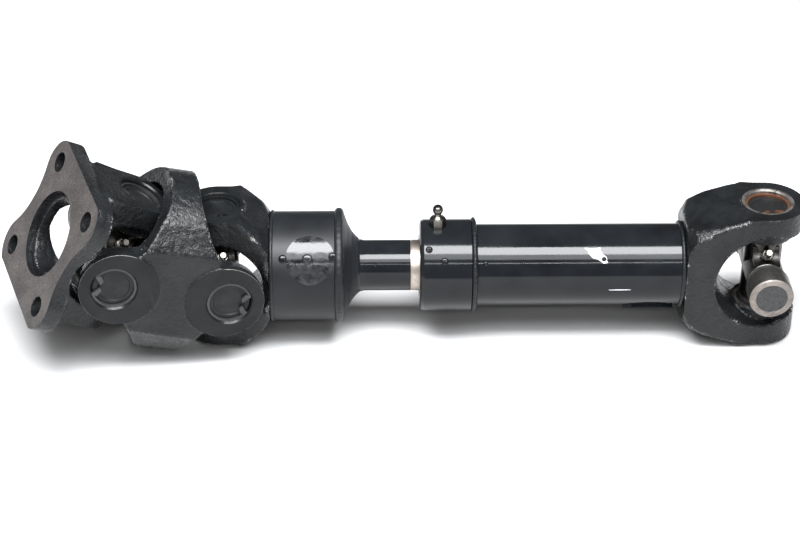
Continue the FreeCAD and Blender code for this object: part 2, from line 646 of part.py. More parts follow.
def main():
    os.makedirs("parts", exist_ok=True)

    save("flange_yoke", placed(flange_yoke(), FLANGE_FRAME))
    save_bearings("flange", FLANGE_FRAME, (Z, -Z), ("flange_cup_upper", "flange_cup_lower"), (200, 20))
    save("centring_socket", placed(centring_socket(), FLANGE_FRAME))
    save("centring_spring", placed(centring_spring(), FLANGE_FRAME))
    save("centring_seal", placed(centring_seal(), FLANGE_FRAME))

    save("front_cross", placed(cross(), FRONT_CROSS_FRAME))
    small_fitting = placed(fitting(*SMALL_FITTING), CROSS_FITTING_FRAME)
    save("front_grease_fitting", placed(small_fitting, FRONT_CROSS_FRAME))

    save("centre_yoke", placed(centre_yoke(), CENTRE_FRAME))
    half = CROSS_SPACING / 2
    for end, x, gap in (("front", -half, 180), ("rear", half, 0)):
        frame = CENTRE_FRAME.multiply(Placement(X * x, Rotation()))
        names = ("centre_cup_" + end + "_near", "centre_cup_" + end + "_far")
        save_bearings("centre_" + end, frame, (-Y, Y), names, (gap, gap))

    save("rear_cross", placed(cross(), REAR_CROSS_FRAME))
    save("rear_grease_fitting", placed(small_fitting, REAR_CROSS_FRAME))

    save("tube_yoke", placed(tube_yoke(), TUBE_YOKE_FRAME))
    save_bearings("tube_yoke", SHAFT_FRAME, (Z, -Z), ("tube_yoke_cup_upper", "tube_yoke_cup_lower"),
                  (290, 110))
    save("centring_ball_stud", placed(centring_ball_stud(), TUBE_YOKE_FRAME))
    shaft_pieces = {"short_tube": short_tube, "front_weld": front_weld, "stub_weld": stub_weld,
                    "slip_stub": slip_stub, "slip_sleeve": slip_sleeve, "sleeve_seal": sleeve_seal,
                    "sleeve_grease_fitting": sleeve_grease_fitting, "sleeve_weld": sleeve_weld,
                    "main_tube": main_tube, "sleeve_plug": sleeve_plug, "end_weld": end_weld,
                    "balance_weight": balance_weight}
    for node, make in shaft_pieces.items():
        save(node, placed(make(), SHAFT_FRAME))

    save("end_yoke", placed(end_yoke(), END_FRAME))
    save_bearings("end", END_FRAME, (Z, -Z), ("end_cup_upper", "end_cup_lower"), (280, 100))
    save("end_cross", placed(cross(), END_FRAME))
    save("end_grease_fitting", placed(small_fitting, END_FRAME))
    for side, direction in (("near", -Y), ("far", Y)):
        frame = arm_frames(END_FRAME, (direction,))[0]
        save("free_cup_" + side, placed(cup(), frame))
        save("free_needles_" + side, placed(needles(), frame))
        save("free_seal_" + side, placed(seal(), frame))


main()
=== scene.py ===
import json
import math

import bmesh
import bpy
import numpy
from mathutils import Matrix, Vector, noise

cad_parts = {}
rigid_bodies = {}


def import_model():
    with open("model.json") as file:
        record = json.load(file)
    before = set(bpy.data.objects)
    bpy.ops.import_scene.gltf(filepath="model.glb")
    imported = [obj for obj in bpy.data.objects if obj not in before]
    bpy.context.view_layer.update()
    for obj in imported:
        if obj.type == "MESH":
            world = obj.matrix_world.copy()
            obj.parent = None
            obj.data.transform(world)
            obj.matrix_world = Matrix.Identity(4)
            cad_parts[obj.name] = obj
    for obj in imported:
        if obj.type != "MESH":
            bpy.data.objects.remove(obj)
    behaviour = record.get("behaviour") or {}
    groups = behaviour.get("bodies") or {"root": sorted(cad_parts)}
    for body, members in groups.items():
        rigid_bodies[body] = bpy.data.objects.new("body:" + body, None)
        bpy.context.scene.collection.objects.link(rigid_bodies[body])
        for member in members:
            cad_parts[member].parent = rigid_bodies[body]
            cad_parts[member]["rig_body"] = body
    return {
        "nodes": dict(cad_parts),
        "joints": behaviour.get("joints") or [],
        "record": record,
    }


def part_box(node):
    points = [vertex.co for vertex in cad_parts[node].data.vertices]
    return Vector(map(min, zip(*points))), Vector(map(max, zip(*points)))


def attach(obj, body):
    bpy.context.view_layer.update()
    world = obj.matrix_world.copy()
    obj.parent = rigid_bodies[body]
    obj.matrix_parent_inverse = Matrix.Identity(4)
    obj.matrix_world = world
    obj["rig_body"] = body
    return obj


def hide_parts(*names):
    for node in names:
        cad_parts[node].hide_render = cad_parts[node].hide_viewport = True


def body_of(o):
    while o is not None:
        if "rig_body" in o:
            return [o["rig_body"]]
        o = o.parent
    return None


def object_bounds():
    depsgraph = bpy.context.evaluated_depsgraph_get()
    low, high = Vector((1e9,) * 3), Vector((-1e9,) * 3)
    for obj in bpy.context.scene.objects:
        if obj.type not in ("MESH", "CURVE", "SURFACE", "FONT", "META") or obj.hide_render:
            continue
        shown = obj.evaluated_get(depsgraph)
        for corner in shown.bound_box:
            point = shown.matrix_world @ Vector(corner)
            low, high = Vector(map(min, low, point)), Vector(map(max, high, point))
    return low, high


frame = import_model()
CAD_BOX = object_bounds()

MM = 0.001
X = Vector((1, 0, 0))
Z = Vector((0, 0, 1))
TURN_STEPS = 96
POLE = 1e-6

# How a forging is made rough and then machined again.
FLAT_TOLERANCE = 0.02 * MM
FACE_STOCK = 1.6 * MM
BORE_STOCK = 1.2 * MM
CUTTER_REACH = 0.2
CUTTER_DEPTH = 0.02
BORE_START_SPARE = 2 * MM
BORE_END_SPARE = 3 * MM
VOXEL = 0.9 * MM
SOFTEN_ROUNDS = 5
RELIEF = 0.14 * MM
BROAD_LUMPS = 0.13
BROAD_SHARE = 0.65
FINE_LUMPS = 0.45
FINE_SHARE = 0.35
SKIN_DROP = 0.3

# Angles in degrees past which an edge is shaded hard.
FORGING_CREASE = 40
LINER_CREASE = 30
PATCH_CREASE = 40
CUP_CREASE = 25

# Wear grows with how far an edge stands proud, in millimetres: from the start, over the span.
WEAR_PASSES = 8
WEAR_START = 0.10
WEAR_SPAN = 0.12

# The machined bore of an ear: radii, and heights from the cross's centre, in millimetres.
EAR_INNER = 23
LINER_INNER = 24.5
LINER_R = 16.0
EAR_BORE_R = 13.5
THROAT_R = 13.7
MOUTH_R = 14.5
MOUTH_DEPTH = 0.9
GROOVE_R = 14.4
GROOVE_START = 40.95
GROOVE_END = 42.6


# ---- places read from the frame ----
def joint(name):
    return next(j for j in frame["joints"] if j["name"] == name)


def mount(name):
    return next(m for m in frame["record"]["mounts"] if m["name"] == name)


def axes(x_axis, z_axis):
    """Rotation whose columns are X, Y and Z, from an X and a Z direction."""
    x_axis = Vector(x_axis).normalized()
    y_axis = Vector(z_axis).cross(x_axis).normalized()
    z_axis = x_axis.cross(y_axis)
    return Matrix((x_axis, y_axis, z_axis)).transposed().to_4x4()


FRONT = Vector(joint("front_ear_swing")["pos_m"])
REAR = Vector(joint("rear_ear_swing")["pos_m"])
END = Vector(joint("end_swing")["pos_m"])
FLANGE_X = -Vector(mount("flange_bolts")["axis"])
FLANGE_Z = Vector(joint("front_ear_swing")["axis"])
CENTRE_Y = Vector(joint("front_side_swing")["axis"])
CENTRE_X = (REAR - FRONT).normalized()
BOLT_CIRCLE = mount("flange_bolts")["dims"]["pcd_mm"] * MM / 2
BOLT_HOLE = mount("flange_bolts")["dims"]["hole_r_mm"] * MM
PILOT = mount("flange_pilot")["dims"]["r_mm"] * MM
CUP = mount("free_cup_near")["dims"]["r_mm"] * MM

# Local frames with a cross at the origin and the yoke's ears along Z. The link yoke's own frame lies
# midway between its two crosses and has its ears along Y.
FLANGE_FRAME = Matrix.Translation(FRONT) @ axes(FLANGE_X, FLANGE_Z)
CENTRE_FRAME = Matrix.Translation((FRONT + REAR) / 2) @ axes(CENTRE_X, CENTRE_X.cross(CENTRE_Y))
TUBE_FRAME = Matrix.Translation(REAR) @ axes(-X, Z)
SHAFT_FRAME = Matrix.Translation(REAR) @ axes(X, Z)
END_FRAME = Matrix.Translation(END) @ axes(X, Z)


# ---- mesh helpers ----
def mesh_object(name, verts, faces, matrix=Matrix.Identity(4), smooth=True):
    mesh = bpy.data.meshes.new(name)
    mesh.from_pydata([matrix @ Vector(v) for v in verts], [], faces)
    mesh.update()
    mesh.polygons.foreach_set("use_smooth", [smooth] * len(mesh.polygons))
    piece = bpy.data.objects.new(name, mesh)
    bpy.context.collection.objects.link(piece)
    return piece


def turned(name, outline, matrix, steps=TURN_STEPS):
    """Closed surface of revolution about local +Z from (radius, height) points in metres."""
    verts = []
    faces = []
    count = len(outline)
    for k in range(steps):
        angle = 2 * math.pi * k / steps
        for radius, height in outline:
            verts.append((radius * math.cos(angle), radius * math.sin(angle), height))
    for k in range(steps):
        following = (k + 1) % steps
        for i in range(count):
            j = (i + 1) % count
            faces.append((k * count + i, following * count + i, following * count + j, k * count + j))
    return mesh_object(name, verts, faces, matrix)


def sharpen(piece, degrees):
    """Shade smooth with hard edges kept."""
    mesh = piece.data
    mesh.polygons.foreach_set("use_smooth", [True] * len(mesh.polygons))
    work = bmesh.new()
    work.from_mesh(mesh)
    for edge in work.edges:
        edge.smooth = edge.is_manifold and edge.calc_face_angle(0) < math.radians(degrees)
    work.to_mesh(mesh)
    work.free()
    return piece


def evaluated(piece):
    """Apply every modifier on a piece of the script's own."""
    graph = bpy.context.evaluated_depsgraph_get()
    mesh = bpy.data.meshes.new_from_object(piece.evaluated_get(graph))
    piece.modifiers.clear()
    piece.data = mesh
    return piece


def remove(piece):
    bpy.data.objects.remove(piece)


def solid_rod(radius, low, high, matrix):
    """Capped cylinder along local +Z, from low to high."""
    shape = bmesh.new()
    middle = matrix @ Matrix.Translation((0, 0, (low + high) / 2))
    bmesh.ops.create_cone(shape, cap_ends=True, segments=TURN_STEPS, radius1=radius, radius2=radius,
                          depth=high - low, matrix=middle)
    mesh = bpy.data.meshes.new("rod")
    shape.to_mesh(mesh)
    shape.free()
    piece = bpy.data.objects.new("rod", mesh)
    bpy.context.collection.objects.link(piece)
    return piece


def box(low, high, matrix):
    """Box between two local corners."""
    corners = [(x, y, z) for x in (low[0], high[0]) for y in (low[1], high[1]) for z in (low[2], high[2])]
    faces = [(0, 1, 3, 2), (4, 6, 7, 5), (0, 4, 5, 1), (2, 3, 7, 6), (0, 2, 6, 4), (1, 5, 7, 3)]
    return mesh_object("box", corners, faces, matrix, smooth=False)


def along(matrix, direction, origin=(0, 0, 0)):
    """A frame at a local origin whose +Z is a local direction."""
    turn = Vector((0, 0, 1)).rotation_difference(Vector(direction)).to_matrix().to_4x4()
    return matrix @ Matrix.Translation(origin) @ turn


def cut(piece, cutters):
    """Subtract each cutter in turn, and remove it."""
    for cutter in cutters:
        work = piece.modifiers.new("cut", "BOOLEAN")
        work.operation = "DIFFERENCE"
        work.solver = "EXACT"
        work.object = cutter
        evaluated(piece)
        remove(cutter)
    return piece


def push_out(mesh, matrix, axis, distance, amount):
    """Move the flat face at a signed distance along a local axis outward, ready to be faced off."""
    local = matrix.inverted()
    for vertex in mesh.vertices:
        place = local @ vertex.co
        if abs(place[axis] - distance) < FLAT_TOLERANCE:
            place[axis] += math.copysign(amount, distance)
            vertex.co = matrix @ place


def mark_edges(mesh):
    """Store how far each vertex stands out of its smoothed surroundings, 0 to 1, as "wear"."""
    count = len(mesh.vertices)
    places = numpy.empty(count * 3)
    normals = numpy.empty(count * 3)
    mesh.vertices.foreach_get("co", places)
    mesh.vertex_normals.foreach_get("vector", normals)
    edges = numpy.empty(len(mesh.edges) * 2, dtype=numpy.int64)
    mesh.edges.foreach_get("vertices", edges)
    places = places.reshape(-1, 3)
    normals = normals.reshape(-1, 3)
    edges = edges.reshape(-1, 2)
    ends = numpy.concatenate((edges[:, 0], edges[:, 1]))
    others = numpy.concatenate((edges[:, 1], edges[:, 0]))
    neighbours = numpy.maximum(numpy.bincount(ends, minlength=count), 1)[:, None]
    smooth = places.copy()
    for _ in range(WEAR_PASSES):
        total = numpy.stack([numpy.bincount(ends, smooth[others, k], count) for k in range(3)], axis=1)
        smooth = 0.5 * smooth + 0.5 * total / neighbours
    proud = ((places - smooth) * normals).sum(axis=1) / MM
    wear = mesh.attributes.new("wear", "FLOAT", "POINT")
    amount = numpy.clip((proud - WEAR_START) / WEAR_SPAN, 0, 1)
    wear.data.foreach_set("value", amount.astype(numpy.float32))


def forging(node_name, matrix, faces, bores):
    """A forged body: the CAD shape softened, given a rough skin, then machined again.

    faces are (axis, distance) planes, and bores are (direction, origin, radius, low, high) holes.
    """
    source = frame["nodes"][node_name]
    piece = bpy.data.objects.new(node_name + "_forging", source.data.copy())
    bpy.context.collection.objects.link(piece)
    for axis, distance in faces:
        push_out(piece.data, matrix, axis, distance, FACE_STOCK)
    plugs = [solid_rod(radius + BORE_STOCK, low, high, along(matrix, direction, origin))
             for direction, origin, radius, low, high in bores]
    bpy.ops.object.select_all(action="DESELECT")
    for part in [piece] + plugs:
        part.select_set(True)
    bpy.context.view_layer.objects.active = piece
    bpy.ops.object.join()
    remesh = piece.modifiers.new("skin", "REMESH")
    remesh.mode = "VOXEL"
    remesh.voxel_size = VOXEL
    soften = piece.modifiers.new("soften", "SMOOTH")
    soften.factor = 0.5
    soften.iterations = SOFTEN_ROUNDS
    evaluated(piece)
    normals = [n.vector.copy() for n in piece.data.vertex_normals]
    for vertex, normal in zip(piece.data.vertices, normals):
        place = vertex.co / MM
        rough = BROAD_SHARE * noise.noise(place * BROAD_LUMPS) + FINE_SHARE * noise.noise(place * FINE_LUMPS)
        vertex.co += normal * (RELIEF * (rough - SKIN_DROP))
    mark_edges(piece.data)
    cutters = []
    for axis, distance in faces:
        low = [-CUTTER_REACH] * 3
        high = [CUTTER_REACH] * 3
        low[axis], high[axis] = sorted((distance, distance + math.copysign(CUTTER_DEPTH, distance)))
        cutters.append(box(low, high, matrix))
    for direction, origin, radius, low, high in bores:
        cutters.append(solid_rod(radius, low - BORE_START_SPARE, high + BORE_END_SPARE,
                                 along(matrix, direction, origin)))
    cut(piece, cutters)
    piece.data.materials.clear()
    piece.data.materials.append(FORGED)
    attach(piece, *body_of(source))
    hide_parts(node_name)
    return sharpen(piece, FORGING_CREASE)


def zone(piece, matrix, material, inside):
    """Give part of a piece another finish; inside() tests a face's centre in millimetres."""
    local = matrix.inverted()
    piece.data.materials.append(material)
    index = len(piece.data.materials) - 1
    for polygon in piece.data.polygons:
        if inside((local @ polygon.center) / MM):
            polygon.material_index = index


def on_plane(axis, distance):
    """Test for faces that lie on a plane across a local axis."""
    return lambda place: abs(place[axis] - distance / MM) < 0.03


def ear_liner(name, body, matrix, outer, material):
    """The finish-machined bore of one ear: chamfered mouth, snap-ring groove, cup bore."""
    profile = [(EAR_BORE_R, LINER_INNER), (LINER_R, LINER_INNER), (LINER_R, outer), (MOUTH_R, outer),
               (THROAT_R, outer - MOUTH_DEPTH), (EAR_BORE_R, GROOVE_END), (GROOVE_R, GROOVE_END),
               (GROOVE_R, GROOVE_START), (EAR_BORE_R, GROOVE_START)]
    piece = turned(name, [(radius * MM, height * MM) for radius, height in profile], matrix)
    piece.data.materials.append(material)
    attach(piece, body)
    sharpen(piece, LINER_CREASE)


# ---- materials ----
def new_material(name):
    material = bpy.data.materials.new(name)
    material.use_nodes = True
    tree = material.node_tree
    shader = next(n for n in tree.nodes if n.type == "BSDF_PRINCIPLED")
    return material, tree, shader


def node(tree, kind, **settings):
    made = tree.nodes.new(kind)
    for key, value in settings.items():
        if key in made.inputs:
            made.inputs[key].default_value = value
        else:
            setattr(made, key, value)
    return made


def place_of(tree):
    """Object coordinates in millimetres."""
    coords = node(tree, "ShaderNodeTexCoord")
    scale = node(tree, "ShaderNodeVectorMath", operation="SCALE")
    scale.inputs["Scale"].default_value = 1 / MM
    tree.links.new(coords.outputs["Object"], scale.inputs[0])
    return scale.outputs[0]


def noise_of(tree, place, scale, detail=4.0, rough=0.55, distortion=0.0):
    texture = node(tree, "ShaderNodeTexNoise", Scale=scale, Detail=detail, Roughness=rough,
                   Distortion=distortion)
    tree.links.new(place, texture.inputs["Vector"])
    return texture.outputs["Fac"]


def ramp(tree, value, stops):
    """Colour ramp over (position, colour) stops."""
    made = node(tree, "ShaderNodeValToRGB")
    band = made.color_ramp
    while len(band.elements) < len(stops):
        band.elements.new(0.5)
    for element, (position, colour) in zip(band.elements, stops):
        element.position = position
        element.color = (*colour, 1.0)
    tree.links.new(value, made.inputs["Fac"])
    return made.outputs["Color"]


def grey(level):
    return (level, level, level)


def mix(tree, factor, first, colour):
    """Blend from a colour output to a plain colour."""
    made = node(tree, "ShaderNodeMix", data_type="RGBA")
    tree.links.new(factor, made.inputs[0])
    tree.links.new(first, made.inputs[6])
    made.inputs[7].default_value = (*colour, 1.0)
    return made.outputs[2]


def math_of(tree, operation, first, second):
    made = node(tree, "ShaderNodeMath", operation=operation)
    tree.links.new(first, made.inputs[0])
    tree.links.new(second, made.inputs[1])
    return made.outputs[0]


def bump(tree, shader, layers):
    """Chain of (height output, strength, distance in millimetres)."""
    normal = None
    for height, strength, depth in layers:
        made = node(tree, "ShaderNodeBump", Strength=strength, Distance=depth * MM)
        tree.links.new(height, made.inputs["Height"])
        if normal:
            tree.links.new(normal, made.inputs["Normal"])
        normal = made.outputs["Normal"]
    tree.links.new(normal, shader.inputs["Normal"])


def forged_paint(name="forged_paint", machined=False):
    """Satin black paint over a pebbly forging, or over a machined face; chipped in places."""
    material, tree, shader = new_material(name)
    place = place_of(tree)
    broad = noise_of(tree, place, 0.05, 3.0)
    grain = noise_of(tree, place, 0.9, 5.0, 0.65)
    pebble = noise_of(tree, place, 0.28, 4.0, 0.6, 0.4)
    paint = ramp(tree, broad, [(0.3, (0.0035, 0.0040, 0.0045)), (0.7, (0.010, 0.011, 0.012))])
    chips = ramp(tree, grain, [(0.70, grey(0.0)), (0.76, grey(1.0))])
    chip_zone = ramp(tree, noise_of(tree, place, 0.035, 2.0), [(0.56, grey(0.0)), (0.66, grey(1.0))])
    edges = node(tree, "ShaderNodeAttribute", attribute_name="wear").outputs["Fac"]
    ragged = ramp(tree, grain, [(0.50, grey(0.0)), (0.60, grey(1.0))])
    rubbed = ramp(tree, noise_of(tree, place, 0.09, 3.0), [(0.50, grey(0.0)), (0.60, grey(1.0))])
    worn = math_of(tree, "MAXIMUM", math_of(tree, "MULTIPLY", chips, chip_zone),
                   math_of(tree, "MULTIPLY", edges, math_of(tree, "MULTIPLY", ragged, rubbed)))
    colour = mix(tree, worn, paint, (0.26, 0.25, 0.24))
    tree.links.new(colour, shader.inputs["Base Color"])
    shine = ramp(tree, pebble, [(0.35, grey(0.20)), (0.68, grey(0.42))])
    tree.links.new(shine, shader.inputs["Roughness"])
    shader.inputs["Specular IOR Level"].default_value = 0.18 if machined else 0.28
    if machined:
        bump(tree, shader, [(grain, 0.2, 0.06)])
    else:
        bump(tree, shader, [(pebble, 0.8, 1.0), (grain, 0.5, 0.3)])
    return material


def gloss_paint(name="gloss_paint", dull=0.0, level=0.24):
    """Black enamel with faint orange peel and dust; dull is roughness added to the full gloss."""
    material, tree, shader = new_material(name)
    place = place_of(tree)
    cloud = noise_of(tree, place, 0.03, 3.0)
    dust = noise_of(tree, place, 1.4, 6.0, 0.7)
    peel = noise_of(tree, place, 0.35, 2.0, 0.5)
    paint = ramp(tree, cloud, [(0.3, (0.004, 0.0045, 0.0055)), (0.7, (0.009, 0.010, 0.0115))])
    specks = ramp(tree, dust, [(0.74, grey(0.0)), (0.78, grey(1.0))])
    colour = mix(tree, specks, paint, (0.10, 0.095, 0.09))
    tree.links.new(colour, shader.inputs["Base Color"])
    shine = ramp(tree, cloud, [(0.3, grey(0.06 + dull)), (0.75, grey(0.14 + dull))])
    tree.links.new(shine, shader.inputs["Roughness"])
    shader.inputs["Specular IOR Level"].default_value = level
    bump(tree, shader, [(peel, 0.06, 0.25), (dust, 0.05, 0.05)])
    return material


def film():
    """Wrinkled glossy film with cloudy patches."""
    material, tree, shader = new_material("film")
    place = place_of(tree)
    wrinkle = noise_of(tree, place, 0.16, 5.0, 0.6, 1.2)
    shade = ramp(tree, wrinkle, [(0.35, (0.006, 0.006, 0.007)), (0.7, (0.030, 0.030, 0.033))])
    tree.links.new(shade, shader.inputs["Base Color"])
    tree.links.new(ramp(tree, wrinkle, [(0.35, grey(0.05)), (0.7, grey(0.22))]), shader.inputs["Roughness"])
    shader.inputs["Specular IOR Level"].default_value = 0.30
    bump(tree, shader, [(wrinkle, 0.25, 0.3)])
    return material


def machined_face():
    """Flange face: ground casting skin, brown-grey with pits and rub marks."""
    material, tree, shader = new_material("machined_face")
    place = place_of(tree)
    blotch = noise_of(tree, place, 0.06, 4.0, 0.6)
    grit = noise_of(tree, place, 0.9, 6.0, 0.7)
    base = ramp(tree, blotch, [(0.30, (0.046, 0.041, 0.040)), (0.5, (0.072, 0.064, 0.061)),
                               (0.70, (0.104, 0.092, 0.086))])
    pits = ramp(tree, grit, [(0.36, grey(0.30)), (0.50, grey(0.85)), (0.66, grey(1.5))])
    tint = node(tree, "ShaderNodeMix", data_type="RGBA", blend_type="MULTIPLY")
    tint.inputs[0].default_value = 0.8
    tree.links.new(base, tint.inputs[6])
    tree.links.new(pits, tint.inputs[7])
    tree.links.new(tint.outputs[2], shader.inputs["Base Color"])
    shader.inputs["Metallic"].default_value = 0.25
    tree.links.new(ramp(tree, grit, [(0.3, grey(0.62)), (0.7, grey(0.45))]), shader.inputs["Roughness"])
    bump(tree, shader, [(grit, 0.35, 0.12), (blotch, 0.2, 0.3)])
    return material


def steel(name, light, dark, roughness, grime=0.5, metallic=1.0, stain_scale=0.12, level=None):
    """Steel with oily streaks, or a dull coat with stains: light and dark are its two colours."""
    material, tree, shader = new_material(name)
    place = place_of(tree)
    stain = noise_of(tree, place, stain_scale, 5.0, 0.65, 0.6)
    fine = noise_of(tree, place, 2.2, 3.0, 0.6)
    colour = ramp(tree, stain, [(0.5 - 0.5 * grime, dark), (0.62, light)])
    tree.links.new(colour, shader.inputs["Base Color"])
    shader.inputs["Metallic"].default_value = metallic
    if level is not None:
        shader.inputs["Specular IOR Level"].default_value = level
    shine = ramp(tree, stain, [(0.3, grey(min(1.0, roughness * 1.5))), (0.7, grey(roughness))])
    tree.links.new(shine, shader.inputs["Roughness"])
    bump(tree, shader, [(fine, 0.12, 0.03), (stain, 0.1, 0.08)])
    return material


def rubber():
    material, tree, shader = new_material("seal_rubber")
    place = place_of(tree)
    wear = noise_of(tree, place, 0.5, 4.0)
    tree.links.new(ramp(tree, wear, [(0.3, grey(0.012)), (0.7, grey(0.03))]), shader.inputs["Base Color"])
    tree.links.new(ramp(tree, wear, [(0.3, grey(0.35)), (0.7, grey(0.6))]), shader.inputs["Roughness"])
    bump(tree, shader, [(wear, 0.2, 0.1)])
    return material


FORGED = forged_paint()
GLOSS = gloss_paint()
FACE = machined_face()
CUP_STEEL = steel("cup_steel", (0.24, 0.23, 0.215), (0.03, 0.028, 0.026), roughness=0.34)
CUP_RIM = steel("cup_rim", (0.25, 0.225, 0.205), (0.13, 0.115, 0.105), roughness=0.42, grime=0.35,
                metallic=0.7)
CROSS_STEEL = steel("cross_steel", (0.10, 0.097, 0.09), (0.014, 0.013, 0.012), roughness=0.30)
BARE_LAND = steel("bare_land", (0.52, 0.47, 0.42), (0.36, 0.31, 0.27), roughness=0.36, grime=0.3)
COPPER_RING = steel("copper_ring", (0.55, 0.27, 0.17), (0.22, 0.10, 0.07), roughness=0.36)
DARK_RING = steel("dark_ring", (0.030, 0.029, 0.029), (0.007, 0.0075, 0.008), roughness=0.28, metallic=0.1)
ROLLER = steel("roller_steel", (0.7, 0.7, 0.7), (0.5, 0.5, 0.5), roughness=0.15)
ZINC = steel("fitting_zinc", (0.20, 0.19, 0.17), (0.03, 0.028, 0.025), roughness=0.25)
HARD = steel("hardened_steel", (0.4, 0.4, 0.41), (0.14, 0.13, 0.12), roughness=0.3)
RUBBER = rubber()
SATIN = gloss_paint("satin_paint", dull=0.36, level=0.25)
FILM = film()
# Pale bluish colour for marks on the main tube: painted reflections in the gloss paint, not dirt.
PAINTED_REFLECTION = steel("painted_reflection", (0.66, 0.66, 0.70), (0.34, 0.34, 0.36), roughness=0.6, grime=0.4, metallic=0.0,
              stain_scale=0.4)
CUP_DISC = steel("cup_disc", (0.045, 0.045, 0.045), (0.022, 0.022, 0.022), roughness=0.5, grime=0.4,
                 metallic=0.3, stain_scale=0.5)
DISC_FACE = forged_paint("disc_face", machined=True)
FORGED_BORE = forged_paint("painted_bore", machined=True)
WORN_BORE = steel("worn_bore", (0.26, 0.24, 0.22), (0.03, 0.03, 0.03), roughness=0.36, grime=0.35,
                  metallic=0.8)
CUP_PAINTED = steel("painted_cup", (0.010, 0.011, 0.011), (0.004, 0.0045, 0.005), roughness=0.36,
                    grime=0.4, metallic=0.0, level=0.25)
# Light steel colour for the rims of the link yoke's bosses: a painted highlight on their edges.
RIM_HIGHLIGHT_STEEL = steel("rim_highlight_steel", (0.20, 0.19, 0.185), (0.03, 0.03, 0.03), roughness=0.4, grime=0.6,
                   metallic=0.6, stain_scale=0.6)
BLACK = gloss_paint("black_paint", dull=0.1, level=0.1)

# The first key found in a node's name gives its material.
LOOKS = {
    "flange_yoke": FORGED, "centre_yoke": FORGED, "tube_yoke": FORGED, "end_yoke": FORGED,
    "snap_rings": DARK_RING, "needles": ROLLER, "seal": RUBBER, "fitting": ZINC, "cross": CROSS_STEEL,
    "free_cup": CUP_STEEL, "cup": CUP_PAINTED, "weld": SATIN, "short_tube": SATIN, "centring_ball": HARD,
    "balance": BLACK, "centring_socket": HARD, "centring_spring": HARD, "sleeve_plug": HARD,
}


def look_of(name):
    if name == "end_snap_rings":
        return COPPER_RING
    for key, material in LOOKS.items():
        if key in name:
            return material
    return GLOSS


for name, item in frame["nodes"].items():
    item.data.materials.clear()
    item.data.materials.append(look_of(name))


# ---- yokes ----
HALF = (REAR - FRONT).length / 2
EAR_PAST_CUP = 4.3 * MM
BOLT_ANGLES = (45, 135, 225, 315)
BOLT_BORE_DEPTH = 11 * MM
MOUTH_SPARE = 3 * MM
PILOT_DEPTH = 4 * MM
CENTRE_HOLE_R = 22.6 * MM
CENTRE_HOLE_DEPTH = 13 * MM
UP_DOWN = ((0, 0, 1), (0, 0, -1))
SIDES = ((0, -1, 0), (0, 1, 0))


def reach_along(node_name, matrix, axis):
    """Largest distance of a CAD node from a frame's origin along one of its axes."""
    local = matrix.inverted()
    return max(abs((local @ v.co)[axis]) for v in frame["nodes"][node_name].data.vertices)


def ear_bores(outer):
    return [(way, (0, 0, 0), LINER_R * MM, EAR_INNER * MM, outer) for way in UP_DOWN]


flange_outer = reach_along("flange_cup_upper", FLANGE_FRAME, 2) + EAR_PAST_CUP
flange_face_x = -FRONT.length
flange_bores = ear_bores(flange_outer)
for degrees in BOLT_ANGLES:
    turn = math.radians(degrees)
    bolt_place = (flange_face_x, BOLT_CIRCLE * math.cos(turn), BOLT_CIRCLE * math.sin(turn))
    flange_bores.append(((1, 0, 0), bolt_place, BOLT_HOLE, -FACE_STOCK, BOLT_BORE_DEPTH))
flange = forging("flange_yoke", FLANGE_FRAME, [(0, flange_face_x), (2, flange_outer), (2, -flange_outer)],
                 flange_bores)
flange_mouth = along(FLANGE_FRAME, (1, 0, 0), (flange_face_x, 0, 0))
cut(flange, [solid_rod(PILOT, -MOUTH_SPARE, PILOT_DEPTH, flange_mouth),
             solid_rod(CENTRE_HOLE_R, -MOUTH_SPARE, CENTRE_HOLE_DEPTH, flange_mouth)])
zone(flange, FLANGE_FRAME, FACE, on_plane(0, flange_face_x))
sharpen(flange, FORGING_CREASE)

centre_outer = reach_along("centre_yoke", CENTRE_FRAME, 1)
centre = forging("centre_yoke", CENTRE_FRAME, [(1, -centre_outer), (1, centre_outer)],
                 [(way, (x, 0, 0), LINER_R * MM, EAR_INNER * MM, centre_outer)
                  for way in SIDES for x in (-HALF, HALF)])
for side in (-1, 1):
    zone(centre, CENTRE_FRAME, DISC_FACE, on_plane(1, side * centre_outer))

tube_outer = reach_along("tube_yoke", TUBE_FRAME, 2)
forging("tube_yoke", TUBE_FRAME, [(2, tube_outer), (2, -tube_outer)], ear_bores(tube_outer))

end_outer = reach_along("end_yoke", END_FRAME, 2)
forging("end_yoke", END_FRAME, [(2, end_outer), (2, -end_outer)], ear_bores(end_outer))

# A ring of light steel round each round boss of the link yoke, a painted highlight on the boss's edge: steps
# from the disc's radius and from its face.
DISC_R = 24.0
BOSS_SHIFT = 3.0 * MM
RIM_STEPS = ((-0.45, -0.2), (-0.35, -0.01), (0.05, -0.1), (0.15, -0.5))
rim_outline = [((DISC_R + out) * MM, (centre_outer / MM + up) * MM) for out, up in RIM_STEPS]
for place, x in (("front", BOSS_SHIFT - HALF), ("rear", HALF - BOSS_SHIFT)):
    for side, way in zip(("near", "far"), SIDES):
        ring = turned("boss_rim_highlight_" + place + "_" + side, rim_outline, along(CENTRE_FRAME, way, (x, 0, 0)))
        ring.data.materials.append(RIM_HIGHLIGHT_STEEL)
        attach(ring, "centre_yoke")

for yoke, body, matrix, outer, material in (
        ("flange", "flange_yoke", FLANGE_FRAME, flange_outer, FORGED_BORE),
        ("tube", "slip_shaft", TUBE_FRAME, tube_outer, FORGED_BORE),
        ("end", "sleeve_shaft", END_FRAME, end_outer, WORN_BORE)):
    for place, way in zip(("upper", "lower"), UP_DOWN):
        ear_liner(yoke + "_ear_bore_" + place, body, along(matrix, way), outer / MM, material)
for place, x in (("front", -HALF), ("rear", HALF)):
    for side, way in zip(("near", "far"), SIDES):
        ear_liner("centre_bore_" + place + "_" + side, "centre_yoke", along(CENTRE_FRAME, way, (x, 0, 0)),
                  centre_outer / MM, DISC_FACE)


